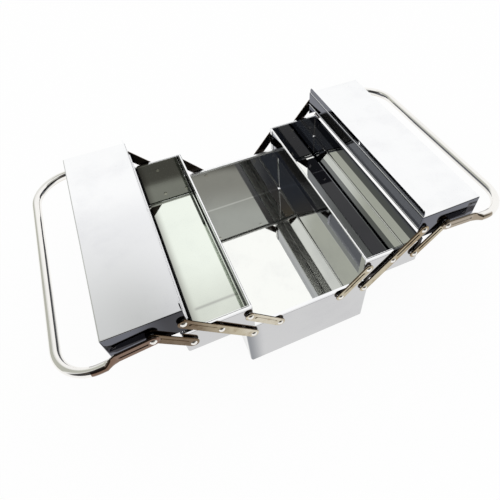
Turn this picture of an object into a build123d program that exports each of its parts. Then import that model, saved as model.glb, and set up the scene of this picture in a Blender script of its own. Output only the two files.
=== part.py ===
"""Cantilever tool box: a deep base, two swing-out trays, two lids and two bail handles.

Units are millimetres.  +Z is up, the long side of the box runs along Y and its front end
faces -Y.  The origin is the centre of the underside of the base.  The box is drawn open.

Every tub is folded sheet: a trough for the floor and the two long walls, and an end panel
that laps over the walls at each end.  The trays hang on pairs of parallel links, so that
they stay level while they swing over the base, and the lids hang on the trays the same way.
"""

import os
from math import asin, cos, degrees, radians, sin, sqrt

from build123d import *

os.makedirs("parts", exist_ok=True)

# ---------------------------------------------------------------- driving dimensions
# Sheet metal
sheet = 0.8                 # thickness of every folded sheet
rim_width = 4.2             # flat of the box hem round the top of a tub, inward from the wall
rim_drop = 4.0              # height of the hem's turned-down edge
rim_bend = 0.9              # bend radius of the hem, at mid sheet
floor_bend = 3.2            # bend radius between a floor and its walls, at mid sheet
lap_length = 12.0           # how far an end panel reaches round along the long walls
lap_clearance = 0.05        # between a lap and the wall under it
base_corner = 4.0           # outer radius of the base's upright corners
tray_corner = 2.4           # and of the trays'

# Base
base_length = 350.0
base_width = 206.0
base_height = 109.0

# Trays
tray_width = 98.0
tray_height = 49.5
tray_inner_closed = 3.0     # from the middle of the box to a closed tray
tray_rest_gap = 1.0         # between the base's hem and a tray that is fully open or closed

# Lids
lid_width = 98.25
lid_inner_closed = 1.75     # from the middle of the box to a closed lid
lid_top_rise = 24.0         # lid's top above the long links' upper pivot
lid_depth = 44.0            # depth of the end and outer flanges
lid_inner_depth = 24.0      # depth of the shallow flange along the middle of the box
lid_bend = 2.0              # outer bend radius of the lid
hem_bead = 1.25             # how far the rolled edge of the shallow flange stands out
lip_height = 10.0           # upright lip along the middle of the box, above the lid's top
lip_setback = 1.2           # from the shallow flange to the lip
lip_corner = 6.5            # radius of the lip's upper corners
lip_hole_radius = 2.8       # hole for a small padlock, through both lips of the closed box

# Links: each tray and lid swings on links of this pitch
link_pitch = 63.0
link_reach = 42.0           # sideways reach of a link at both ends of its swing
link_width = 15.0
link_thickness = 2.0
rib_width = 5.0
rib_height = 0.9
rib_margin = 11.0           # from a pivot to the end of the rib beside it
short_link_x = 50.5         # pivots on the base, from the middle of the box
long_link_x = 92.0
short_link_lift = 1.5       # short links' pivots are this much higher than the long ones'
tray_pivot_height = 29.5    # long links' middle pivot above a tray's underside
outer_pivot_inset = 11.5    # outer links' pivot from a tray's outer edge
outer_pivot_height = 24.5   # and above a tray's underside

# Pivots
pin_radius = 2.2
pin_clearance = 0.08        # radial, where a link turns on its rivet
loop_clearance = 0.25       # radial, at the pivots that only close a loop
face_clearance = 0.1        # along the pivot, each side of a turning piece
seat_clearance = 0.03       # round a rivet in the hole that holds it
shoulder_radius = 4.6
head_radius = 4.4
head_height = 2.2
tail_radius = 3.0           # flat head inside a tub
tail_height = 0.9
link_standoff = 2.2         # between an end panel and the back of a link

# Handles
tube_radius = 6.35
tube_wall = 1.2
handle_reach = 115.0        # from the pivot to the grip's centre line
left_handle_droop = 6.8     # degrees below level when it rests outward
right_handle_droop = 4.4
flat_length = 46.0          # from the pivot to the end of the pressed-flat arm
flat_width = 17.0
flat_thickness = 3.2
flat_blend = 13.0           # length over which the tube goes from flat to round
flat_inset = 3.7            # from the tube's centre line in to the middle of the flat
flat_edge = 1.4             # bevel of the flat's long edges
corner_straight = 6.0       # round tube between the pressed end and the corner's bend
groove_width = 3.4
groove_depth = 0.9
corner_rivet_radius = 2.6
corner_rivet_inset = 6.0
corner_rivet_height = 1.1

# ---------------------------------------------------------------- derived places
link_rise = sqrt(link_pitch**2 - link_reach**2)
swing = 2 * degrees(asin(link_reach / link_pitch))
tray_bottom = base_height + tray_rest_gap
tray_top = tray_bottom + tray_height
tray_inner = tray_inner_closed + 2 * link_reach
tray_outer = tray_inner + tray_width
tray_centre = (tray_inner + tray_outer) / 2
lid_inner = lid_inner_closed + 4 * link_reach
lid_outer = lid_inner + lid_width
lid_centre = (lid_inner + lid_outer) / 2

# Pivot places (x, z) on the right-hand side, box open
long_base = (long_link_x, tray_bottom + tray_pivot_height - link_rise)
long_tray = (long_base[0] + link_reach, long_base[1] + link_rise)
long_lid = (long_base[0] + 2 * link_reach, long_base[1] + 2 * link_rise)
short_base = (short_link_x, long_base[1] + short_link_lift)
short_tray = (short_base[0] + link_reach, short_base[1] + link_rise)
outer_tray = (tray_outer - outer_pivot_inset, tray_bottom + outer_pivot_height)
outer_lid = (outer_tray[0] + link_reach, outer_tray[1] + link_rise)
lid_top = long_lid[1] + lid_top_rise

# Planes along Y, as distances from the middle of the box
end_y = base_length / 2                     # outer face of every end panel and lid end
link_y = end_y + link_standoff              # inner face of every link
link_outer_y = link_y + link_thickness
flat_y = link_outer_y + rib_height + 2 * face_clearance  # inner face of a handle's flat arm
flat_outer_y = flat_y + flat_thickness
flat_middle_y = flat_y + flat_thickness / 2
tube_y = flat_middle_y + flat_inset         # centre line of a handle's round arms

# Centre-line radius of a handle's two corners
handle_corner = handle_reach - flat_length - flat_blend - corner_straight

# Handle angle above level at the place where the grips meet over the closed box
lid_pivot_closed = outer_lid[0] - 4 * link_reach
grip_gap = 0.6
meet_cosine = (lid_pivot_closed - tube_radius - grip_gap) / handle_reach
handle_meet = 90 + degrees(asin(meet_cosine))

print(f"swing {swing:.2f} deg, handles meet {handle_meet:.2f} deg above level")


# ---------------------------------------------------------------- helpers
def end_plane(x, y, z):
    """A plane that faces the front end, -Y, with its origin at x, z and y in front of the middle."""
    return Plane(origin=(x, -y, z), x_dir=(1, 0, 0), z_dir=(0, -1, 0))


def save(part, name):
    """Label a finished piece and write it as one STEP file."""
    part.label = name
    export_step(part, f"parts/{name}.step")


def mirrored(part, plane):
    """A mirror copy of a finished piece."""
    with BuildPart() as copy:
        mirror(part, about=plane)
    return copy.part


def save_both_ends(part, name):
    """Write a front-end piece and its copy at the back end."""
    save(part, f"{name}_front")
    save(mirrored(part, Plane.XZ), f"{name}_back")


def save_four(part, name):
    """Write a right-hand front piece and its three copies."""
    save_both_ends(part, f"right_{name}")
    save_both_ends(mirrored(part, Plane.YZ), f"left_{name}")


def dome_profile(radius, height, base=0.0):
    """Half the outline of a shallow dome, from its rim up to its top, in a line context."""
    sphere = (radius**2 + height**2) / (2 * height)
    half_angle = asin(radius / sphere) / 2
    middle = (sphere * sin(half_angle), base + height - sphere * (1 - cos(half_angle)))
    ThreePointArc((radius, base), middle, (0, base + height))


# ---------------------------------------------------------------- folded tubs
def trough(width, height, corner, centre_x, bottom_z):
    """The floor and two long walls of a tub, one folded sheet with inward box hems."""
    wall_x = width / 2 - sheet - lap_clearance - sheet / 2
    hem_x = width / 2 - rim_width + sheet / 2
    half = [
        (hem_x, height - rim_drop),
        (hem_x, height - sheet / 2),
        (wall_x, height - sheet / 2),
        (wall_x, sheet / 2),
    ]
    points = [(-x, z) for x, z in half] + list(reversed(half))
    bends = [rim_bend, rim_bend, floor_bend, floor_bend, rim_bend, rim_bend]
    reach = end_y - corner
    floor_width = 2 * wall_x - 2 * floor_bend
    with BuildPart() as body:
        with BuildSketch(end_plane(centre_x, -reach, bottom_z)):
            with BuildLine():
                FilletPolyline(*points, radius=bends)
            trace(line_width=sheet)
        extrude(amount=2 * reach)
        # Between the rounded corners the floor runs on to the end panels.
        with BuildSketch(Plane.XY.offset(bottom_z)):
            with Locations((centre_x, 0)):
                Rectangle(floor_width, 2 * (end_y - sheet))
        extrude(amount=sheet)
    return body.part


def end_panel(width, height, corner, centre_x, bottom_z, pivots):
    """The front end of a tub: a sheet wrapped round both corners, with an inward hem above."""
    lap_x = width / 2 - sheet / 2
    plate_y = end_y - sheet / 2
    lap_end = end_y - lap_length
    reach = end_y - corner
    inner_width = width - 2 * rim_width
    with BuildPart() as panel:
        with BuildSketch(Plane.XY.offset(bottom_z)):
            with BuildLine():
                FilletPolyline(
                    (centre_x - lap_x, -lap_end),
                    (centre_x - lap_x, -plate_y),
                    (centre_x + lap_x, -plate_y),
                    (centre_x + lap_x, -lap_end),
                    radius=corner - sheet / 2,
                )
            trace(line_width=sheet)
        extrude(amount=height)
        # The hem's flat fills the corners, and its turned-down edge runs between the walls.
        with BuildSketch(Plane.XY.offset(bottom_z + height - sheet)):
            with Locations((centre_x, 0)):
                RectangleRounded(width, 2 * end_y, corner)
                Rectangle(inner_width, 2 * (end_y - rim_width), mode=Mode.SUBTRACT)
            with Locations((centre_x, end_y - reach)):
                Rectangle(width, 2 * end_y, mode=Mode.SUBTRACT)
        extrude(amount=sheet)
        with BuildSketch(Plane.XY.offset(bottom_z + height - rim_drop)):
            with Locations((centre_x, -end_y + rim_width - sheet / 2)):
                Rectangle(inner_width - 2 * lap_clearance, sheet)
        extrude(amount=rim_drop)
        # The laps stop above the bend of the floor, and below the hem of the walls.
        for side in (-1, 1):
            with BuildSketch(Plane.XY.offset(bottom_z)):
                with Locations((centre_x + side * lap_x, -lap_end - (lap_length - corner) / 2)):
                    Rectangle(2 * sheet, lap_length - corner)
            extrude(amount=floor_bend + sheet, mode=Mode.SUBTRACT)
        with BuildSketch(end_plane(centre_x, 0, bottom_z)):
            with BuildSketch(mode=Mode.PRIVATE) as outline:
                with Locations((0, height / 2)):
                    Rectangle(width, height)
                fillet(outline.vertices().group_by(Axis.Y)[0], floor_bend + sheet)
            add(outline.sketch)
        extrude(amount=end_y, mode=Mode.INTERSECT)
        for x, z in pivots:
            with Locations(end_plane(x, end_y, z)):
                Hole(pin_radius + seat_clearance, depth=2 * sheet)
    return panel.part


# ---------------------------------------------------------------- links
def link(start, end, ribs, holes):
    """A pressed link at the front end, from start to end, with ribs on the named halves.

    holes maps a distance along the link to the radius of the hole there.
    """
    length = sqrt((end[0] - start[0]) ** 2 + (end[1] - start[1]) ** 2)
    along = Vector(end[0] - start[0], 0, end[1] - start[1]).normalized()
    back = Plane(origin=(start[0], -link_y, start[1]), x_dir=along, z_dir=(0, -1, 0))
    with BuildPart() as bar:
        with BuildSketch(back):
            with Locations((length / 2, 0)):
                SlotCenterToCenter(length, link_width)
        extrude(amount=link_thickness)
        edge_bevel = link_thickness / 4
        chamfer(bar.faces().sort_by(Axis.Y)[0].edges(), edge_bevel)
        for rib_start, rib_end in ribs:
            with BuildSketch(back.offset(link_thickness)):
                with Locations(((rib_start + rib_end) / 2, 0)):
                    SlotCenterToCenter(rib_end - rib_start, rib_width)
            extrude(amount=rib_height)
            chamfer(bar.faces().sort_by(Axis.Y)[0].edges(), rib_height * 0.6)
        for distance, radius in holes.items():
            with BuildSketch(back):
                with Locations((distance, 0)):
                    Circle(radius)
            extrude(amount=link_thickness + rib_height, mode=Mode.SUBTRACT)
    return bar.part


# ---------------------------------------------------------------- rivets
def rivet(place, seat_y, grip_y):
    """A shoulder rivet at the front end.

    It is clenched through a sheet whose outer face is at seat_y.  Its shoulder ends at the
    back of the link, and its domed head sits outside the last piece, whose outer face is
    at grip_y.
    """
    x, z = place
    shoulder = link_y - seat_y - face_clearance
    head_base = grip_y - seat_y + face_clearance
    profile_plane = Plane(origin=(x, -seat_y, z), x_dir=(1, 0, 0), z_dir=(0, 0, -1))
    with BuildPart() as body:
        with BuildSketch(profile_plane):
            with BuildLine():
                Polyline(
                    (0, head_base + head_height),
                    (0, -sheet - tail_height),
                    (tail_radius, -sheet - tail_height),
                    (tail_radius, -sheet),
                    (pin_radius, -sheet),
                    (pin_radius, 0),
                    (shoulder_radius, 0),
                    (shoulder_radius, shoulder),
                    (pin_radius, shoulder),
                    (pin_radius, head_base),
                    (head_radius, head_base),
                )
                dome_profile(head_radius, head_height, head_base)
            make_face()
        revolve(axis=Axis((x, -seat_y, z), (0, -1, 0)))
    return body.part


def rivet_group(places, seat_y, grip_y):
    """The same rivet at each place, at the front and at the back."""
    with BuildPart() as group:
        for place in places:
            single = rivet(place, seat_y, grip_y)
            add(single)
            mirror(single, about=Plane.XZ)
    return group.part


def washers():
    """The right-hand washers that keep a handle clear of the ribs of the links behind it."""
    inner_face = link_outer_y + face_clearance
    thickness = flat_y - face_clearance - inner_face
    with BuildPart() as pair:
        with BuildSketch(end_plane(outer_lid[0], inner_face, outer_lid[1])):
            Circle(shoulder_radius)
            Circle(pin_radius + seat_clearance, mode=Mode.SUBTRACT)
        extrude(amount=thickness)
        mirror(about=Plane.XZ)
    return pair.part


def save_rivets(place, seat_y, grip_y, name):
    """Write one pair of rivets for the right-hand side and one for the left."""
    pair = rivet_group([place], seat_y, grip_y)
    save(pair, f"right_{name}")
    save(mirrored(pair, Plane.YZ), f"left_{name}")


# ---------------------------------------------------------------- lids
def lid():
    """The right-hand lid: a folded cover, shallow along the middle, with an upright lip there."""
    with BuildPart() as cover:
        with BuildSketch(Plane.XY.offset(lid_top - lid_depth)):
            with Locations((lid_centre, 0)):
                Rectangle(lid_width, base_length)
        extrude(amount=lid_depth)
        upright = cover.edges().filter_by(Axis.Z)
        fillet(upright, lid_bend)
        fillet(cover.faces().sort_by(Axis.Z)[-1].edges(), lid_bend)
        offset(amount=-sheet, openings=cover.faces().sort_by(Axis.Z)[0])
        # The flange along the middle of the box is cut back to its shallow depth.
        cut_depth = lid_depth - lid_inner_depth
        cut_length = base_length - 2 * lid_bend
        with BuildSketch(Plane.XY.offset(lid_top - lid_depth)):
            with Locations((lid_inner + sheet / 2, 0)):
                Rectangle(2 * sheet, cut_length)
        extrude(amount=cut_depth, mode=Mode.SUBTRACT)
        # Its lower edge is rolled into a bead.
        bead_radius = (hem_bead + sheet) / 2
        bead_plane = end_plane(
            lid_inner + sheet - bead_radius, -cut_length / 2, lid_top - lid_inner_depth
        )
        with BuildSketch(bead_plane):
            Circle(bead_radius)
        extrude(amount=cut_length)
        for place in (long_lid, outer_lid):
            with Locations(end_plane(place[0], end_y, place[1])):
                Hole(pin_radius + seat_clearance, depth=2 * sheet)
            with Locations(Plane(origin=(place[0], end_y, place[1]), z_dir=(0, 1, 0))):
                Hole(pin_radius + seat_clearance, depth=2 * sheet)
        # The lip is the sheet folded up and back on itself, with rounded ends.
        lip_plane = Plane(
            origin=(lid_inner + lip_setback, 0, lid_top), x_dir=(0, 1, 0), z_dir=(1, 0, 0)
        )
        with BuildSketch(lip_plane):
            with BuildSketch(mode=Mode.PRIVATE) as lip_outline:
                with Locations((0, (lip_height - sheet) / 2)):
                    Rectangle(cut_length, lip_height + sheet)
                fillet(lip_outline.vertices().group_by(Axis.Y)[-1], lip_corner)
            add(lip_outline.sketch)
        extrude(amount=2 * sheet)
        with BuildSketch(lip_plane):
            with Locations((0, lip_height / 2)):
                Circle(lip_hole_radius)
        extrude(amount=2 * sheet, mode=Mode.SUBTRACT)
    return cover.part


def corner_rivets():
    """Small rivets that hold the outer flange's tabs to a lid's end flanges."""
    x = lid_outer - corner_rivet_inset
    z = lid_top - lid_depth + corner_rivet_inset
    profile = Plane(origin=(x, -end_y, z), x_dir=(1, 0, 0), z_dir=(0, 0, -1))
    with BuildPart() as pair:
        with BuildSketch(profile):
            with BuildLine():
                dome_profile(corner_rivet_radius, corner_rivet_height)
                Polyline((0, corner_rivet_height), (0, 0), (corner_rivet_radius, 0))
            make_face()
        revolve(axis=Axis((x, -end_y, z), (0, -1, 0)))
        mirror(about=Plane.XZ)
    return pair.part


# ---------------------------------------------------------------- handles
def handle(droop):
    """A right-hand bail: one tube, bent round two corners, with its ends pressed flat.

    droop is its angle below level at rest, in degrees.
    """
    arm = Vector(cos(radians(droop)), 0, -sin(radians(droop)))
    upward = Vector(sin(radians(droop)), 0, cos(radians(droop)))
    bail_plane = Plane(origin=(outer_lid[0], 0, outer_lid[1]), x_dir=arm, z_dir=upward)
    round_start = flat_length + flat_blend

    def arm_section(distance, y):
        """A plane across the arm at a distance from the pivot, centred at y."""
        origin = bail_plane.from_local_coords((distance, -y, 0))
        return Plane(origin=origin, x_dir=(0, 1, 0), z_dir=arm)

    with BuildPart() as bail:
        with BuildLine(bail_plane) as route:
            FilletPolyline(
                (round_start, -tube_y),
                (handle_reach, -tube_y),
                (handle_reach, tube_y),
                (round_start, tube_y),
                radius=handle_corner,
            )
        with BuildSketch(arm_section(round_start, tube_y)):
            Circle(tube_radius)
            Circle(tube_radius - tube_wall, mode=Mode.SUBTRACT)
        sweep(path=route.wire())
    with BuildPart() as arm_end:
        # Where the tube goes from round to flat
        with BuildSketch(arm_section(round_start, tube_y)):
            Circle(tube_radius)
        with BuildSketch(arm_section(flat_length, flat_middle_y)) as flat_section:
            Rectangle(flat_thickness, flat_width)
            chamfer(flat_section.vertices(), flat_edge)
        loft()
        # The flattened arm, round about its pivot
        flat_back = Plane(origin=(outer_lid[0], -flat_y, outer_lid[1]), x_dir=arm, z_dir=(0, -1, 0))
        with BuildPart(mode=Mode.PRIVATE) as blade:
            with BuildSketch(flat_back):
                with Locations((flat_length / 2, 0)):
                    Rectangle(flat_length, flat_width)
                Circle(flat_width / 2)
            extrude(amount=flat_thickness)
            long_edges = blade.edges().filter_by(Axis.Y, reverse=True).filter_by(
                lambda edge: edge.length > flat_width
            )
            chamfer(long_edges, flat_edge)
            with BuildSketch(flat_back.offset(flat_thickness)):
                groove_start = head_radius + groove_width
                groove_end = flat_length - groove_width
                with Locations(((groove_start + groove_end) / 2, 0)):
                    SlotCenterToCenter(groove_end - groove_start, groove_width)
            extrude(amount=-groove_depth, mode=Mode.SUBTRACT)
            with BuildSketch(flat_back):
                Circle(pin_radius + pin_clearance)
            extrude(amount=flat_thickness, mode=Mode.SUBTRACT)
        add(blade.part)
    with BuildPart() as whole:
        add(bail.part)
        add(arm_end.part)
        mirror(arm_end.part, about=Plane.XZ)
    return whole.part


# ---------------------------------------------------------------- base
save(trough(base_width, base_height, base_corner, 0, 0), "base_trough")
base_pivots = [
    (side * x, z) for side in (-1, 1) for x, z in (short_base, long_base)
]
save_both_ends(end_panel(base_width, base_height, base_corner, 0, 0, base_pivots), "base_panel")
for pivot, rivet_name in ((short_base, "base_short_link_rivets"), (long_base, "base_long_link_rivets")):
    both_sides = [pivot, (-pivot[0], pivot[1])]
    save(rivet_group(both_sides, end_y, link_outer_y), rivet_name)

# ---------------------------------------------------------------- trays
right_trough = trough(tray_width, tray_height, tray_corner, tray_centre, tray_bottom)
save(right_trough, "right_tray_trough")
save(mirrored(right_trough, Plane.YZ), "left_tray_trough")
tray_pivots = [short_tray, long_tray, outer_tray]
tray_end = end_panel(tray_width, tray_height, tray_corner, tray_centre, tray_bottom, tray_pivots)
save_four(tray_end, "tray_panel")
save_rivets(short_tray, end_y, link_outer_y, "tray_short_link_rivets")
save_rivets(long_tray, end_y, link_outer_y, "tray_long_link_rivets")
save_rivets(outer_tray, end_y, link_outer_y, "tray_outer_link_rivets")

# ---------------------------------------------------------------- links
turning = pin_radius + pin_clearance
closing = pin_radius + loop_clearance
one_rib = [(rib_margin, link_pitch - rib_margin)]
upper_rib = [(link_pitch + rib_margin, 2 * link_pitch - rib_margin)]
save_four(link(short_base, short_tray, one_rib, {0: turning, link_pitch: closing}), "short_link")
save_four(
    link(long_base, long_lid, upper_rib, {0: turning, link_pitch: turning, 2 * link_pitch: turning}),
    "long_link",
)
save_four(link(outer_tray, outer_lid, one_rib, {0: turning, link_pitch: closing}), "outer_link")

# ---------------------------------------------------------------- lids and handles
right_lid = lid()
save(right_lid, "right_lid")
save(mirrored(right_lid, Plane.YZ), "left_lid")
save_rivets(long_lid, end_y, link_outer_y, "lid_long_link_rivets")
save_rivets(outer_lid, end_y, flat_outer_y, "lid_handle_rivets")
right_washers = washers()
save(right_washers, "right_lid_handle_washers")
save(mirrored(right_washers, Plane.YZ), "left_lid_handle_washers")
right_corner_rivets = corner_rivets()
save(right_corner_rivets, "right_lid_corner_rivets")
save(mirrored(right_corner_rivets, Plane.YZ), "left_lid_corner_rivets")
save(handle(right_handle_droop), "right_handle")
save(mirrored(handle(left_handle_droop), Plane.YZ), "left_handle")
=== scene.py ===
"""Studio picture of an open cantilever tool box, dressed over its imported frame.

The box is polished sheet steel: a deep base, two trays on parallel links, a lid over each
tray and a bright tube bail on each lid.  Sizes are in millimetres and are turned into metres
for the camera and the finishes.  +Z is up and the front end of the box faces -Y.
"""

from __future__ import annotations

import logging
import math
from dataclasses import dataclass
from enum import Enum
from typing import Dict, Optional, Tuple, Union

import bpy
from mathutils import Matrix, Vector

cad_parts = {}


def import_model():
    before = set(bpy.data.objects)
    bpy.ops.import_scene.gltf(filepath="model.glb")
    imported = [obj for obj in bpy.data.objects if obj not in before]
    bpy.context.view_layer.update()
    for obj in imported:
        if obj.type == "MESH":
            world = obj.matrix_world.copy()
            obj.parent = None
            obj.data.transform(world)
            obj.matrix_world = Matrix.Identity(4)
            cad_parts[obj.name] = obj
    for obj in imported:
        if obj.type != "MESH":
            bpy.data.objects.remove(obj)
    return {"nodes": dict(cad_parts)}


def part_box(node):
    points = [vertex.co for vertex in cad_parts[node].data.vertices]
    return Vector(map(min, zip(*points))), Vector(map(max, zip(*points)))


LOG = logging.getLogger("tool_box")
MM = 0.001
WHITE = (1.0, 1.0, 1.0)

Triple = Tuple[float, float, float]
Colour = Triple
Span = Tuple[float, float]
Value = Union[float, int, Colour, "Sock"]


# ------------------------------------------------------------------ shader maths
class Sock:
    """An output socket on which shader maths is written as Python expressions."""

    def __init__(self, tree: "Tree", socket: bpy.types.NodeSocket) -> None:
        """Keeps the tree that new nodes go to and the socket itself."""
        self.tree = tree
        self.socket = socket

    def _math(self, operation: str, first: Value, second: Optional[Value] = None) -> "Sock":
        """Adds one Math node.

        Args:
            operation: The Math node's operation.
            first: Its first value or link.
            second: Its second value or link, if it has one.

        Returns:
            The result.
        """
        inputs: Dict[Union[int, str], Value] = {0: first}
        if second is not None:
            inputs[1] = second
        return self.tree.add("ShaderNodeMath", {"operation": operation}, inputs)

    def __add__(self, other: Value) -> "Sock":
        """Sum."""
        return self._math("ADD", self, other)

    __radd__ = __add__

    def __sub__(self, other: Value) -> "Sock":
        """Difference."""
        return self._math("SUBTRACT", self, other)

    def __rsub__(self, other: Value) -> "Sock":
        """Difference, with this socket taken away from a number."""
        return self._math("SUBTRACT", other, self)

    def __mul__(self, other: Value) -> "Sock":
        """Product."""
        return self._math("MULTIPLY", self, other)

    __rmul__ = __mul__

    def __neg__(self) -> "Sock":
        """Value with its sign turned round."""
        return self._math("MULTIPLY", self, -1.0)

    def __abs__(self) -> "Sock":
        """Absolute value."""
        return self._math("ABSOLUTE", self)

    def smallest(self, other: Value) -> "Sock":
        """The smaller of two values."""
        return self._math("MINIMUM", self, other)

    def root(self) -> "Sock":
        """Square root."""
        return self._math("SQRT", self)

    def heading(self, other: Value) -> "Sock":
        """Angle, in degrees, of an arrow that reaches this far up and the other socket along."""
        return self._math("ARCTAN2", self, other) * math.degrees(1.0)

    def ramp(self, low: float, high: float) -> "Sock":
        """A smooth step from 0 at low to 1 at high."""
        settings = {"interpolation_type": "SMOOTHSTEP"}
        inputs = {"Value": self, "From Min": low, "From Max": high}
        return self.tree.add("ShaderNodeMapRange", settings, inputs)

    def between(self, low: float, high: float, edge: float) -> "Sock":
        """A mask that is 1 from low to high and fades out over the edge on both sides."""
        return self.ramp(low - edge, low + edge) * self.ramp(high + edge, high - edge)


class Tree:
    """A node tree, with one method that adds any node."""

    def __init__(self, owner: Union[bpy.types.Material, bpy.types.World]) -> None:
        """Empties the owner's node tree and keeps it."""
        owner.use_nodes = True
        self.tree = owner.node_tree
        self.tree.nodes.clear()

    def add(
        self,
        kind: str,
        settings: Optional[Dict[str, object]] = None,
        inputs: Optional[Dict[Union[int, str], Value]] = None,
        out: Union[int, str] = 0,
    ) -> Sock:
        """Adds a node, sets it up and links it.

        Args:
            kind: The node's type.
            settings: Its properties, set before its sockets.
            inputs: Values or links of its sockets, by name or index.
            out: The output that is wanted, by name or index.

        Returns:
            That output.
        """
        node = self.tree.nodes.new(kind)
        for name, setting in (settings or {}).items():
            setattr(node, name, setting)
        for name, value in (inputs or {}).items():
            if isinstance(value, Sock):
                self.tree.links.new(value.socket, node.inputs[name])
            else:
                slot = node.inputs[name]
                is_colour = slot.type == "RGBA" and not isinstance(value, (int, float))
                slot.default_value = (*value, 1.0) if is_colour else value
        if not node.outputs:
            return Sock(self, None)
        return Sock(self, node.outputs[out])

    def mix(self, factor: Value, first: Value, second: Value) -> Sock:
        """Blends two colours by a factor."""
        settings = {"data_type": "RGBA", "clamp_factor": True}
        return self.add("ShaderNodeMix", settings, {0: factor, 6: first, 7: second}, 2)

    def noise(self, where: Sock, scale: float, detail: float = 2.0, rough: float = 0.5) -> Sock:
        """Fractal noise at places given in metres."""
        inputs = {"Vector": where, "Scale": scale, "Detail": detail, "Roughness": rough}
        return self.add("ShaderNodeTexNoise", None, inputs)

    def place(self) -> Sock:
        """The piece's own coordinates, in metres."""
        return self.add("ShaderNodeTexCoord", None, None, "Object")

    def facing(self) -> Sock:
        """The direction in which the piece's own surface faces."""
        return self.add("ShaderNodeTexCoord", None, None, "Normal")

    def split(self, vector: Sock) -> Tuple[Sock, Sock, Sock]:
        """The three parts of a vector."""
        node = self.add("ShaderNodeSeparateXYZ", None, {0: vector}).socket.node
        return tuple(Sock(self, node.outputs[index]) for index in range(3))

    def stretched(self, where: Sock, factors: Triple) -> Sock:
        """Coordinates scaled along each axis, for streaks."""
        inputs = {0: where, 1: factors}
        return self.add("ShaderNodeVectorMath", {"operation": "MULTIPLY"}, inputs)


# ------------------------------------------------------------------ finishes
FAR = 1000.0
EVERYWHERE: Span = (-FAR, FAR)


@dataclass(frozen=True)
class Zone:
    """A part of a piece with a tint of its own; most zones paint highlights, shade and reflections
    this way.

    Attributes:
        tint: The colour there; most zones use it for painted highlights, shade and reflections.
        x: Where it begins and ends across the box, in millimetres.
        y: Where it begins and ends from front to back.
        z: Where it begins and ends above the floor.
        edge: Half the width over which it fades.
        upright: Whether it is on upright faces only.
        faces: Sign and axis, from 1, of the faces that it is on, such as -2 for those that face -Y.
        dull: How much rougher it is there.
        matt_highlight: How much less it mirrors there, which lets a painted highlight show white.
    """

    tint: Colour
    x: Span = EVERYWHERE
    y: Span = EVERYWHERE
    z: Span = EVERYWHERE
    edge: float = 0.4
    upright: bool = False
    faces: int = 0
    dull: float = 0.0
    matt_highlight: float = 0.0


@dataclass(frozen=True)
class MetalFinish:
    """Bright metal with faint waves, streaks and handling marks.

    Attributes:
        name: The material's name.
        tint: Colour of its upright faces, darker than the level faces as painted shade.
        level: Colour of its level faces, the lighter side of that painted shade.
        stain: Factor on the tint in patches.
        patch: Patches a metre.
        zones: Parts with a tint of their own, mostly painted highlights, shade and reflections, the
            last on top.
        roughness: Roughness where it is cleanest.
        haze: How much rougher it gets in patches.
        wave: Depth of the slow waves of the sheet, in metres.
        wave_scale: Waves a metre.
        grain: Depth of the fine polishing grain, in metres.
        streak: Stretch of the grain along each axis.
        lean: How far upright faces lean out of true, as a slope.
    """

    name: str
    tint: Colour
    level: Optional[Colour] = None
    stain: Colour = (0.93, 0.93, 0.94)
    patch: float = 14.0
    zones: Tuple[Zone, ...] = ()
    roughness: float = 0.03
    haze: float = 0.10
    wave: float = 0.0002
    wave_scale: float = 7.0
    grain: float = 0.000002
    streak: Triple = (1.0, 0.06, 1.0)
    lean: float = 0.0

    def _tinted(self, tree: Tree, place: Sock) -> Tuple[Value, Value, Value]:
        """Lays the zones over the tints of upright and level faces.

        Args:
            tree: The material's tree.
            place: The piece's own coordinates.

        Returns:
            The metal's colour, its roughness and how far it mirrors.
        """
        along = tree.split(place)
        normal = tree.split(tree.facing())
        flatness = abs(normal[2]).ramp(0.6, 0.9)
        colour: Value = self.tint
        roughness: Value = self.roughness
        mirror: Value = 1.0
        # Painted shade: upright faces take a darker tint than the level faces of the same sheet.
        if self.level is not None:
            colour = tree.mix(flatness, self.tint, self.level)
        for zone in self.zones:
            mask: Value = 1.0
            for reach, span in zip(along, (zone.x, zone.y, zone.z)):
                if span != EVERYWHERE:
                    mask = (reach * (1.0 / MM)).between(*span, zone.edge) * mask
            if zone.upright:
                mask = (1.0 - flatness) * mask
            if zone.faces:
                part = normal[abs(zone.faces) - 1] * math.copysign(1.0, zone.faces)
                mask = part.ramp(0.3, 0.7) * mask
            colour = tree.mix(mask, colour, zone.tint)
            if zone.dull:
                roughness = mask * zone.dull + roughness
            if zone.matt_highlight:
                mirror = mirror - mask * zone.matt_highlight
        return colour, roughness, mirror

    def material(self) -> bpy.types.Material:
        """Builds the material.

        Returns:
            A new material with this finish.
        """
        material = bpy.data.materials.new(self.name)
        tree = Tree(material)
        place = tree.place()
        patches = tree.noise(place, self.patch, 4.0, 0.6)
        smears = tree.noise(tree.stretched(place, (3.0, 1.0, 3.0)), 22.0, 3.0)
        clean, smooth, mirror = self._tinted(tree, place)
        stained = tree.add(
            "ShaderNodeVectorMath", {"operation": "MULTIPLY"}, {0: clean, 1: self.stain}
        )
        colour = tree.mix(patches.ramp(0.45, 0.75) * 0.8, clean, stained)
        roughness = self.haze * patches.ramp(0.5, 0.8) * smears.ramp(0.3, 0.7) + smooth
        waves = tree.noise(place, self.wave_scale, 1.0, 0.4)
        grain = tree.noise(tree.stretched(place, self.streak), 900.0, 2.0)
        height = waves * self.wave + grain * self.grain + tree.split(place)[2] * self.lean
        bump = tree.add("ShaderNodeBump", None, {"Height": height, "Distance": 1.0, "Strength": 1.0})
        shader = tree.add(
            "ShaderNodeBsdfPrincipled",
            None,
            {"Base Color": colour, "Metallic": mirror, "Roughness": roughness, "Normal": bump},
        )
        tree.add("ShaderNodeOutputMaterial", None, {"Surface": shader})
        return material
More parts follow.
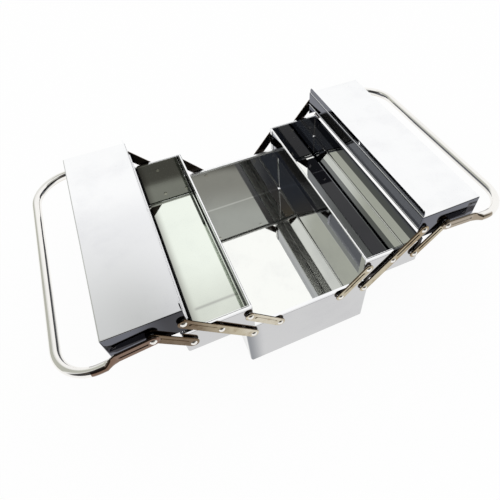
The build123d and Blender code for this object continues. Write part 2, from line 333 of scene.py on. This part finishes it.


# Tints of the sheet, from the brightest to the darkest. Most of them paint light into the sheet:
# painted highlights on rims and folds, lighter level faces and darker walls, painted shade under
# overhangs and on undersides, and painted reflections of the room.
PAINTED_HIGHLIGHT = (0.96, 0.965, 0.97)
CREAM = (0.955, 0.965, 0.93)
LIP_HIGHLIGHT = (0.93, 0.93, 0.94)
RIGHT_CREAM = (0.93, 0.94, 0.90)
UNDER_RIM = (0.90, 0.90, 0.90)
TRAY_CREAM = (0.87, 0.92, 0.84)
LID_GREY_REFLECTION = (0.86, 0.865, 0.88)
HEM_HIGHLIGHT = (0.80, 0.80, 0.81)
LID_FRONT_REFLECTION = (0.72, 0.725, 0.74)
TUCKED_SHADE = (0.72, 0.72, 0.72)
TRAY_FRONT_REFLECTION = (0.70, 0.735, 0.66)
WALL = (0.70, 0.705, 0.70)
UNDERSIDE_SHADE = (0.62, 0.62, 0.62)
END_PANEL_SHADE = (0.60, 0.60, 0.605)
TRAY_GREY_REFLECTION = (0.44, 0.44, 0.40)
BAIL_REFLECTION = (0.40, 0.405, 0.38)
TRAY_EDGE_SHADOW = (0.32, 0.32, 0.29)
SHADE = (0.30, 0.305, 0.31)
CORNER_SHADE = (0.24, 0.25, 0.27)
OUTER_WALL_SHADE = (0.24, 0.25, 0.30)
FOLD_SHADE = (0.16, 0.16, 0.17)
LID_SIDE_SHADE = (0.13, 0.135, 0.16)
UPPER_WALL_SHADE = (0.13, 0.135, 0.145)
RIM_SHADOW = (0.12, 0.125, 0.15)
LID_UNDER_SHADE = (0.05, 0.05, 0.055)
LID_FLANGE_REFLECTION = (0.045, 0.045, 0.052)

# Tints of the plating on the links, the bails and the rivets. Beside the plating's own colours, they
# paint shade under the tubes and on back faces, and reflections on the flats' fronts.
PLATED = (0.92, 0.905, 0.875)
RIVET_PALE = (0.86, 0.84, 0.80)
TUBE_UNDER_SHADE = (0.60, 0.53, 0.42)
FLAT_FRONT_REFLECTION = (0.38, 0.32, 0.25)
FLAT_BACK_SHADE = (0.30, 0.28, 0.27)
LEFT_FLAT_REFLECTION = (0.20, 0.13, 0.095)
TUBE_CORNER_SHADE = (0.20, 0.13, 0.08)


# ------------------------------------------------------------------ the box's parts
class Side(Enum):
    """The half of the box that a piece stands on, with the word in its name."""

    LEFT = "left"
    RIGHT = "right"


class End(Enum):
    """The end of the box that a piece is on, with the word in its name."""

    FRONT = "front"
    BACK = "back"

    @property
    def outward(self) -> int:
        """The faces that look out of the box there, as a zone counts them."""
        return -2 if self is End.FRONT else 2


@dataclass
class Assembly:
    """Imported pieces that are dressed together.

    Attributes:
        nodes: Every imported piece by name.
    """

    nodes: Dict[str, bpy.types.Object]

    def wear(self, finish: MetalFinish, *words: str) -> None:
        """Gives a finish to each piece whose name holds all the words, and reports it.

        Args:
            finish: The finish.
            words: Parts of the pieces' names.
        """
        material = finish.material()
        for name, node in self.nodes.items():
            if all(word in name for word in words):
                for slot in node.material_slots:
                    slot.material = material
                LOG.info("%s is dressed in %s", name, finish.name)


@dataclass
class FoldedTub(Assembly):
    """A tub folded from sheet, with a hem round its rim.

    Attributes:
        rim: Height of its rim.
        hem: Height of the hem.
        roll: How far down its rim carries a painted highlight.
        crest: How far down a front panel's rim carries a painted highlight.
        fold_line: Lower and upper end of the painted shade line below the hem.
    """

    rim: float = 0.0
    hem: float = 4.2
    roll: float = 2.0
    crest: float = 0.8
    fold_line: Span = (1.0, 0.2)

    def rim_zones(self) -> Tuple[Zone, ...]:
        """The folded rim, with a painted highlight."""
        return (Zone(PAINTED_HIGHLIGHT, z=(self.rim - self.roll, FAR)),)

    def front_rim_zones(self) -> Tuple[Zone, ...]:
        """The rim of a front panel, with painted highlights and a painted shade line under its fold.
        """
        fold = self.rim - self.hem
        line = (fold - self.fold_line[0], fold - self.fold_line[1])
        # A painted highlight band on the hem's face, a painted shade line under the fold and a
        # painted highlight on top.
        return (
            Zone(HEM_HIGHLIGHT, z=(fold, FAR), faces=-2),
            Zone(FOLD_SHADE, z=line, edge=0.2, faces=-2),
            Zone(PAINTED_HIGHLIGHT, z=(self.rim - self.crest, FAR)),
        )


@dataclass
class Base(FoldedTub):
    """The deep base: a trough and two end panels.

    Attributes:
        end_face: Distance of the end panels' outer faces from the middle.
        shaded_from: How far left of the middle the front panel darkens with painted shade.
        tucked: How far below its rim the trough is out of sight under the trays, where it takes
            painted shade.
        back_tucked: How far below its rim the back panel is out of sight under the trays, where it
            takes a lighter painted band.
        fold: Height of the painted highlight where the back panel meets the floor.
        slope: How far the walls lean out of true.
    """

    end_face: float = 174.6
    shaded_from: float = 90.0
    tucked: float = 12.0
    back_tucked: float = 7.0
    fold: float = 3.0
    slope: float = -0.05

    def trough(self) -> MetalFinish:
        """The trough, whose walls stand a touch out of true, with painted shade on its walls and
        under the trays.
        """
        # Painted shade on the trough where it sits under the trays.
        tucked = Zone(TUCKED_SHADE, z=(self.rim - self.tucked, FAR), dull=0.45)
        return MetalFinish("base_sheet", WALL, CREAM, zones=(tucked,), lean=self.slope)

    def front(self) -> MetalFinish:
        """The front panel, with painted shade on its outer face, darkest at its left corner."""
        # Painted shade on the outer face, darkest at the left corner.
        shade = Zone(CORNER_SHADE, x=(-FAR, -self.shaded_from), edge=14.0, faces=-2)
        outside = Zone(END_PANEL_SHADE, y=(-FAR, -self.end_face))
        zones = (outside, shade, *self.front_rim_zones())
        return MetalFinish("base_front_sheet", WALL, CREAM, zones=zones)

    def back(self) -> MetalFinish:
        """The back panel, with a painted highlight at its fold to the floor and a lighter painted
        band below its rim.
        """
        zones = (
            # Painted highlight at the fold; a lighter, rougher painted band below the rim softens a
            # dark mirrored line there.
            Zone(PAINTED_HIGHLIGHT, z=(0.0, self.fold)),
            Zone(UNDER_RIM, z=(self.rim - self.back_tucked, FAR), dull=0.4),
            *self.rim_zones(),
        )
        return MetalFinish("base_back_sheet", WALL, CREAM, zones=zones)

    def dress(self) -> None:
        """Dresses the three sheets."""
        self.wear(self.trough(), "base_trough")
        self.wear(self.front(), "base_panel_front")
        self.wear(self.back(), "base_panel_back")


@dataclass
class Tray(FoldedTub):
    """A tray: a trough and two end panels.

    Attributes:
        side: The side it hangs on.
        inner: Distance of its inner wall's outer face from the middle.
        outer: Distance of its outer wall's inner face from the middle.
        lit_below: Height up to which the right outer wall carries a painted reflection of the lit
            floor.
        shadow_from: Distance from the middle of the painted shadow along the left outer wall.
        darkens_from: Distance in front of the middle at which the left floor darkens with a painted
            reflection.
        grey_from: Distance in front of the middle at which it turns grey with a painted reflection.
        bail_reflection_across: Where the painted reflection of the bail crosses the left floor,
            across the box.
        bail_reflection_along: Where it does so from front to back.
        slope: How far the right walls lean out of true.
    """

    side: Side = Side.LEFT
    inner: float = 88.0
    outer: float = 184.0
    lit_below: float = 135.5
    shadow_from: float = 163.0
    darkens_from: float = 80.0
    grey_from: float = 150.0
    bail_reflection_across: Span = (-158.0, -92.0)
    bail_reflection_along: Span = (-117.0, -114.0)
    slope: float = -0.05

    def left_trough(self) -> MetalFinish:
        """The left trough, with painted shade on its walls and painted reflections that darken its
        floor towards the front.
        """
        zones = (
            # Painted reflections darken the floor towards the front and the bail's painted
            # reflection crosses it; a painted shadow runs along its outer edge.
            Zone(TRAY_FRONT_REFLECTION, y=(-FAR, -self.darkens_from), edge=60.0, faces=3),
            Zone(TRAY_EDGE_SHADOW, x=(-FAR, -self.shadow_from), edge=10.0, faces=3),
            Zone(BAIL_REFLECTION, x=self.bail_reflection_across, y=self.bail_reflection_along, edge=3.0, faces=3),
            Zone(TRAY_GREY_REFLECTION, y=(-FAR, -self.grey_from), edge=14.0, faces=3),
            *self.rim_zones(),
        )
        return MetalFinish("left_tray_sheet", SHADE, TRAY_CREAM, zones=zones)

    def right_trough(self) -> MetalFinish:
        """The right trough, whose outer wall carries a painted reflection of the lit floor up to a
        line, with painted shade and highlights elsewhere.
        """
        zones = (
            # Painted shade high on the outer wall, on the underside and on the wall facing the base;
            # a painted reflection of the lit floor low on the walls; a painted highlight on the
            # inner rim; a painted shadow under the lid's edge.
            Zone(UPPER_WALL_SHADE, x=(self.outer - 44.0, FAR)),
            Zone(RIGHT_CREAM, faces=3),
            Zone(UNDERSIDE_SHADE, x=(-FAR, self.inner + 20.0), faces=-3, dull=0.45),
            Zone(WALL, z=(-FAR, self.lit_below), upright=True),
            Zone(OUTER_WALL_SHADE, x=(-FAR, self.inner), faces=-1),
            Zone(PAINTED_HIGHLIGHT, x=(-FAR, self.inner + 12.0), z=(self.rim - self.roll, FAR)),
            Zone(RIM_SHADOW, x=(self.outer - 24.0, FAR), z=(self.rim - 9.5, FAR)),
        )
        return MetalFinish("right_tray_sheet", SHADE, TRAY_CREAM, zones=zones, lean=self.slope)

    def dress(self) -> None:
        """Dresses the three sheets."""
        word = self.side.value
        trough = self.left_trough() if self.side is Side.LEFT else self.right_trough()
        self.wear(trough, word, "tray_trough")
        # The end panels' upright faces take a darker tint than their level faces as painted shade,
        # and their rims painted highlights.
        front = MetalFinish(
            f"{word}_tray_front_sheet", END_PANEL_SHADE, TRAY_CREAM, zones=self.front_rim_zones()
        )
        self.wear(front, word, "tray_panel_front")
        back = MetalFinish(f"{word}_tray_back_sheet", END_PANEL_SHADE, TRAY_CREAM, zones=self.rim_zones())
        self.wear(back, word, "tray_panel_back")


@dataclass
class Lid(Assembly):
    """A lid, polished on top, with painted shade on its turned-down sides.

    Attributes:
        side: The side it covers.
        inner_edge: How far from the middle its inner flange stands.
        flange: Lower and upper end of the inner flange.
        black_from: How far from the middle the painted dark reflection on the left front flange
            reaches, inwards.
        grey_from: How far behind the middle the left top turns grey with a painted reflection,
            forwards.
        darkens_from: How far in front of the middle it darkens with a painted reflection.
        wave: Depth of the slow waves in its top, in metres.
    """

    side: Side = Side.LEFT
    inner_edge: float = 171.0
    flange: Span = (188.0, 209.5)
    black_from: float = 215.0
    grey_from: float = 25.0
    darkens_from: float = 130.0
    wave: float = 0.0004

    def sheet(self) -> MetalFinish:
        """The lid's finish: painted shade on its sides and underside, and on the left side painted
        reflections that darken it towards the front and a painted highlight on the inner flange.

        Returns:
            The finish.
        """
        # Painted shade on the underside.
        zones: Tuple[Zone, ...] = (Zone(LID_UNDER_SHADE, faces=-3),)
        if self.side is Side.LEFT:
            # On the left: painted reflections grey and darken the top towards the front and blacken
            # the front flange; a painted highlight runs along the inner flange.
            zones = (
                Zone(LID_GREY_REFLECTION, y=(-FAR, self.grey_from), edge=45.0, faces=3),
                Zone(LID_FRONT_REFLECTION, y=(-FAR, -self.darkens_from), edge=70.0, faces=3),
                Zone(LID_FLANGE_REFLECTION, x=(-self.black_from, FAR), edge=25.0, faces=-2),
                Zone(LIP_HIGHLIGHT, x=(-self.inner_edge, FAR), z=self.flange, matt_highlight=0.9),
                *zones,
            )
        name = f"{self.side.value}_lid_sheet"
        # The turned-down sides take the dark tint as painted shade; the top takes the painted
        # highlight tint.
        return MetalFinish(name, LID_SIDE_SHADE, PAINTED_HIGHLIGHT, zones=zones, wave=self.wave, haze=0.12)

    def dress(self) -> None:
        """Dresses the lid."""
        self.wear(self.sheet(), f"{self.side.value}_lid")


@dataclass
class Links(Assembly):
    """The six links at one end: yellow plated strip, with painted shade on its cut edges.

    Attributes:
        end: The end of the box.
        gold: The plating where it is bright.
        pale: A painted reflection on the plating of the left short link.
        brown: A painted dark reflection on the links that are furthest left.
        tan_reflection: A painted reflection on the plating near the right lid.
        edge: Painted shade on the cut edges and the sides of the ribs.
        behind: Painted shade on the faces towards the box.
        pale_from: Distance from the middle at which the left short link begins.
        shift: Distance from the middle at which the painted reflections change on both sides.
        tan_reflection_to: Distance from the middle at which the painted tan reflection ends.
    """

    end: End = End.FRONT
    gold: Colour = (0.50, 0.44, 0.32)
    pale: Colour = (0.62, 0.57, 0.46)
    brown: Colour = (0.17, 0.12, 0.075)
    tan_reflection: Colour = (0.34, 0.26, 0.16)
    edge: Colour = (0.13, 0.085, 0.05)
    behind: Colour = (0.05, 0.042, 0.038)
    pale_from: float = 105.0
    shift: float = 145.0
    tan_reflection_to: float = 192.0

    def plate(self) -> MetalFinish:
        """The plated strip.

        Returns:
            The finish.
        """
        out = self.end.outward
        # Painted reflections vary the outward faces along the box; the edges and the faces towards
        # the box take painted shade.
        zones = (
            Zone(self.gold, faces=out),
            Zone(self.pale, x=(-self.pale_from, 0.0), edge=10.0, faces=out),
            Zone(self.brown, x=(-FAR, -self.shift), edge=32.0, faces=out),
            Zone(self.tan_reflection, x=(self.shift, self.tan_reflection_to), edge=22.0, faces=out),
            Zone(self.behind, faces=-out),
        )
        return MetalFinish(
            f"{self.end.value}_link_plate",
            self.edge,
            stain=(0.55, 0.46, 0.34),
            patch=70.0,
            zones=zones,
            roughness=0.12,
            wave=0.0004,
            wave_scale=45.0,
        )

    def dress(self) -> None:
        """Dresses the links."""
        self.wear(self.plate(), f"link_{self.end.value}")


@dataclass
class Bails(Assembly):
    """The two tube bails, pressed flat at their ends.

    Attributes:
        flat_from: How far in front of the middle the flats' front faces begin.
        flat_behind: Where the flats' inner faces are, from front to back.
        flat_to: How far to each side the flats reach.
        bend: How far in front of the middle the tube's corners begin.
    """

    flat_from: float = 178.0
    flat_behind: Span = (-183.0, -170.0)
    flat_to: float = 292.0
    bend: float = 140.0

    def tube(self) -> MetalFinish:
        """The plated tube, with painted shade under it, darkest under its front corners, painted
        reflections on its flats' front faces and painted shade on their back faces.
        """
        flats = (-self.flat_to, self.flat_to)
        front = (-FAR, -self.flat_from)
        zones = (
            # Painted shade below, painted reflections on the flats' fronts, painted shade on their
            # backs.
            Zone(TUBE_UNDER_SHADE, faces=-3),
            Zone(TUBE_CORNER_SHADE, y=(-FAR, -self.bend), edge=20.0, faces=-3),
            Zone(FLAT_FRONT_REFLECTION, x=flats, y=front, faces=-2),
            Zone(LEFT_FLAT_REFLECTION, x=(-self.flat_to, 0.0), y=front, faces=-2),
            Zone(FLAT_BACK_SHADE, x=flats, y=self.flat_behind, faces=2),
        )
        return MetalFinish("bright_tube", PLATED, zones=zones, roughness=0.05, wave=0.00006)

    def dress(self) -> None:
        """Dresses both bails."""
        self.wear(self.tube(), "left_handle")
        self.wear(self.tube(), "right_handle")


@dataclass
class Fasteners(Assembly):
    """Plated rivets and washers."""

    def dress(self) -> None:
        """Dresses every rivet and washer."""
        plated = MetalFinish("plated_rivet", RIVET_PALE, roughness=0.12, wave=0.0)
        self.wear(plated, "rivets")
        self.wear(plated, "washers")


# ------------------------------------------------------------------ studio
@dataclass(frozen=True)
class Card:
    """A soft-edged part of the surroundings that the metal mirrors.

    Attributes:
        tone: Its colour.
        heading: Lowest and highest heading in degrees, 0 at the front and + to the right.
        height: Lowest and highest elevation in degrees.
        soft: Half the width of its soft edges, sideways and upwards.
        from_back: Whether headings are 0 at the back instead, and + to the left.
        fleck: A second colour that it holds in patches.
    """

    tone: Colour
    heading: Span
    height: Span
    soft: Span = (5.0, 4.0)
    from_back: bool = False
    fleck: Optional[Colour] = None


@dataclass
class Studio:
    """Camera, backdrop and light.

    Attributes:
        eye: Where the camera stands, in millimetres.
        right: The picture's rightward direction.
        up: The picture's upward direction.
        forward: The direction in which the camera looks.
        focal_px: Focal length in pixels of the photograph's frame.
        centre_px: The pixel straight ahead of the camera.
        frame_px: Width and height of the frame.
        sensor_mm: Width of the sensor.
        floor_reach: How far the floor reaches each way, in metres.
        floor_paint: Colour of the floor's paint.
        floor_glow: Share of the backdrop's white in the floor as it is seen.
        cards: What the metal mirrors, the last on top.
    """

    eye: Triple = (-153.78, -448.90, 625.65)
    right: Triple = (0.90893, -0.41656, -0.01801)
    up: Triple = (0.34367, 0.72403, 0.59805)
    forward: Triple = (0.23609, 0.54978, -0.80125)
    focal_px: float = 408.57
    centre_px: Span = (286.64, 262.91)
    frame_px: float = 500.0
    sensor_mm: float = 36.0
    floor_reach: float = 6.0
    floor_paint: Colour = (0.92, 0.92, 0.92)
    floor_glow: float = 0.93
    cards: Tuple[Card, ...] = (
        # High up at the back, a little to the left.
        Card((0.60, 0.61, 0.58), (8.0, 20.0), (47.0, 90.0), (14.0, 9.0), True),
        # The wall on the left, paler at its back end.
        Card((0.78, 0.79, 0.77), (20.0, 90.0), (-90.0, 90.0), (8.0, 4.0), True),
        Card((0.50, 0.51, 0.46), (32.0, 90.0), (-90.0, 90.0), (3.0, 4.0), True),
        # In front and to the right, with a paler band on top and a dark one below.
        Card((0.33, 0.325, 0.30), (-12.0, 60.0), (-10.0, 70.0), (6.0, 8.0)),
        Card((0.50, 0.51, 0.49), (-12.0, 60.0), (44.0, 70.0), (6.0, 2.5)),
        Card((0.10, 0.095, 0.085), (-60.0, 40.0), (-10.0, 39.6), (6.0, 0.6)),
        # The dark part of the room, in front and to the left.
        Card(
            (0.085, 0.072, 0.055),
            (-80.0, -8.0),
            (-10.0, 66.0),
            (8.0, 8.0),
            fleck=(0.036, 0.040, 0.052),
        ),
    )

    def camera(self) -> None:
        """Makes the camera that the photograph was taken with and makes it the scene's."""
        data = bpy.data.cameras.new("studio_camera")
        data.sensor_width = self.sensor_mm
        data.lens = self.focal_px / self.frame_px * self.sensor_mm
        half = self.frame_px / 2
        data.shift_x = (half - self.centre_px[0]) / self.frame_px
        data.shift_y = (self.centre_px[1] - half) / self.frame_px
        data.clip_start = 0.02
        camera = bpy.data.objects.new("studio_camera", data)
        turn = Matrix((self.right, self.up, [-v for v in self.forward])).transposed()
        camera.matrix_world = Matrix.Translation(Vector(self.eye) * MM) @ turn.to_4x4()
        bpy.context.scene.collection.objects.link(camera)
        bpy.context.scene.camera = camera
        LOG.info("The camera stands at %s mm", self.eye)

    def world(self) -> None:
        """Fills the surroundings: white to the camera, a pale studio in reflections."""
        world = bpy.data.worlds.new("studio")
        bpy.context.scene.world = world
        tree = Tree(world)
        direction = tree.add("ShaderNodeTexCoord", None, None, "Generated")
        x, y, z = tree.split(direction)
        flat = (x * x + y * y).root()
        elevation = z.heading(flat)
        from_front = x.heading(-y)
        from_back = (-x).heading(y)
        tone: Value = WHITE
        for card in self.cards:
            heading = from_back if card.from_back else from_front
            mask = heading.between(*card.heading, card.soft[0])
            mask = mask * elevation.between(*card.height, card.soft[1])
            face: Value = card.tone
            if card.fleck is not None:
                face = tree.mix(tree.noise(direction, 5.0).ramp(0.35, 0.65), face, card.fleck)
            tone = tree.mix(mask, tone, face)
        glossy = tree.add("ShaderNodeLightPath", None, None, "Is Glossy Ray")
        colour = tree.mix(glossy, WHITE, tone)
        background = tree.add("ShaderNodeBackground", None, {"Color": colour})
        tree.add("ShaderNodeOutputWorld", None, {"Surface": background})
        LOG.info("The studio has %d cards", len(self.cards))

    def floor(self) -> None:
        """Lays the pale floor that the box stands on."""
        mesh = bpy.data.meshes.new("floor")
        reach = self.floor_reach
        corners = [(-reach, -reach, 0), (reach, -reach, 0), (reach, reach, 0), (-reach, reach, 0)]
        mesh.from_pydata(corners, [], [(0, 1, 2, 3)])
        floor = bpy.data.objects.new("floor", mesh)
        bpy.context.scene.collection.objects.link(floor)
        material = bpy.data.materials.new("white_floor")
        tree = Tree(material)
        seen = tree.add("ShaderNodeLightPath", None, None, "Is Camera Ray")
        mirrored = tree.add("ShaderNodeLightPath", None, None, "Is Glossy Ray")
        through = tree.add("ShaderNodeLightPath", None, None, "Is Transmission Ray")
        paint = tree.add("ShaderNodeBsdfDiffuse", None, {"Color": self.floor_paint})
        glow = tree.add("ShaderNodeEmission", None, {"Color": WHITE, "Strength": 1.0})
        share = (seen + mirrored + through).smallest(1.0) * self.floor_glow
        surface = tree.add("ShaderNodeMixShader", None, {0: share, 1: paint, 2: glow})
        tree.add("ShaderNodeOutputMaterial", None, {"Surface": surface})
        mesh.materials.append(material)
        LOG.info("The floor reaches %.0f m each way", reach)


def top_of(name: str) -> float:
    """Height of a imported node's highest point, in millimetres."""
    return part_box(name)[1][2] / MM


def main() -> None:
    """Builds the studio, then dresses the box from the base up."""
    logging.basicConfig(level=logging.INFO)
    bpy.context.scene.view_settings.view_transform = "Standard"
    studio = Studio()
    studio.camera()
    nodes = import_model()["nodes"]
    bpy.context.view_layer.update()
    studio.world()
    studio.floor()
    Base(nodes, rim=top_of("base_trough")).dress()
    for side in Side:
        Tray(nodes, rim=top_of(f"{side.value}_tray_trough"), side=side).dress()
        Lid(nodes, side=side).dress()
    for end in End:
        Links(nodes, end=end).dress()
    Bails(nodes).dress()
    Fasteners(nodes).dress()


if __name__ == "__main__":
    main()
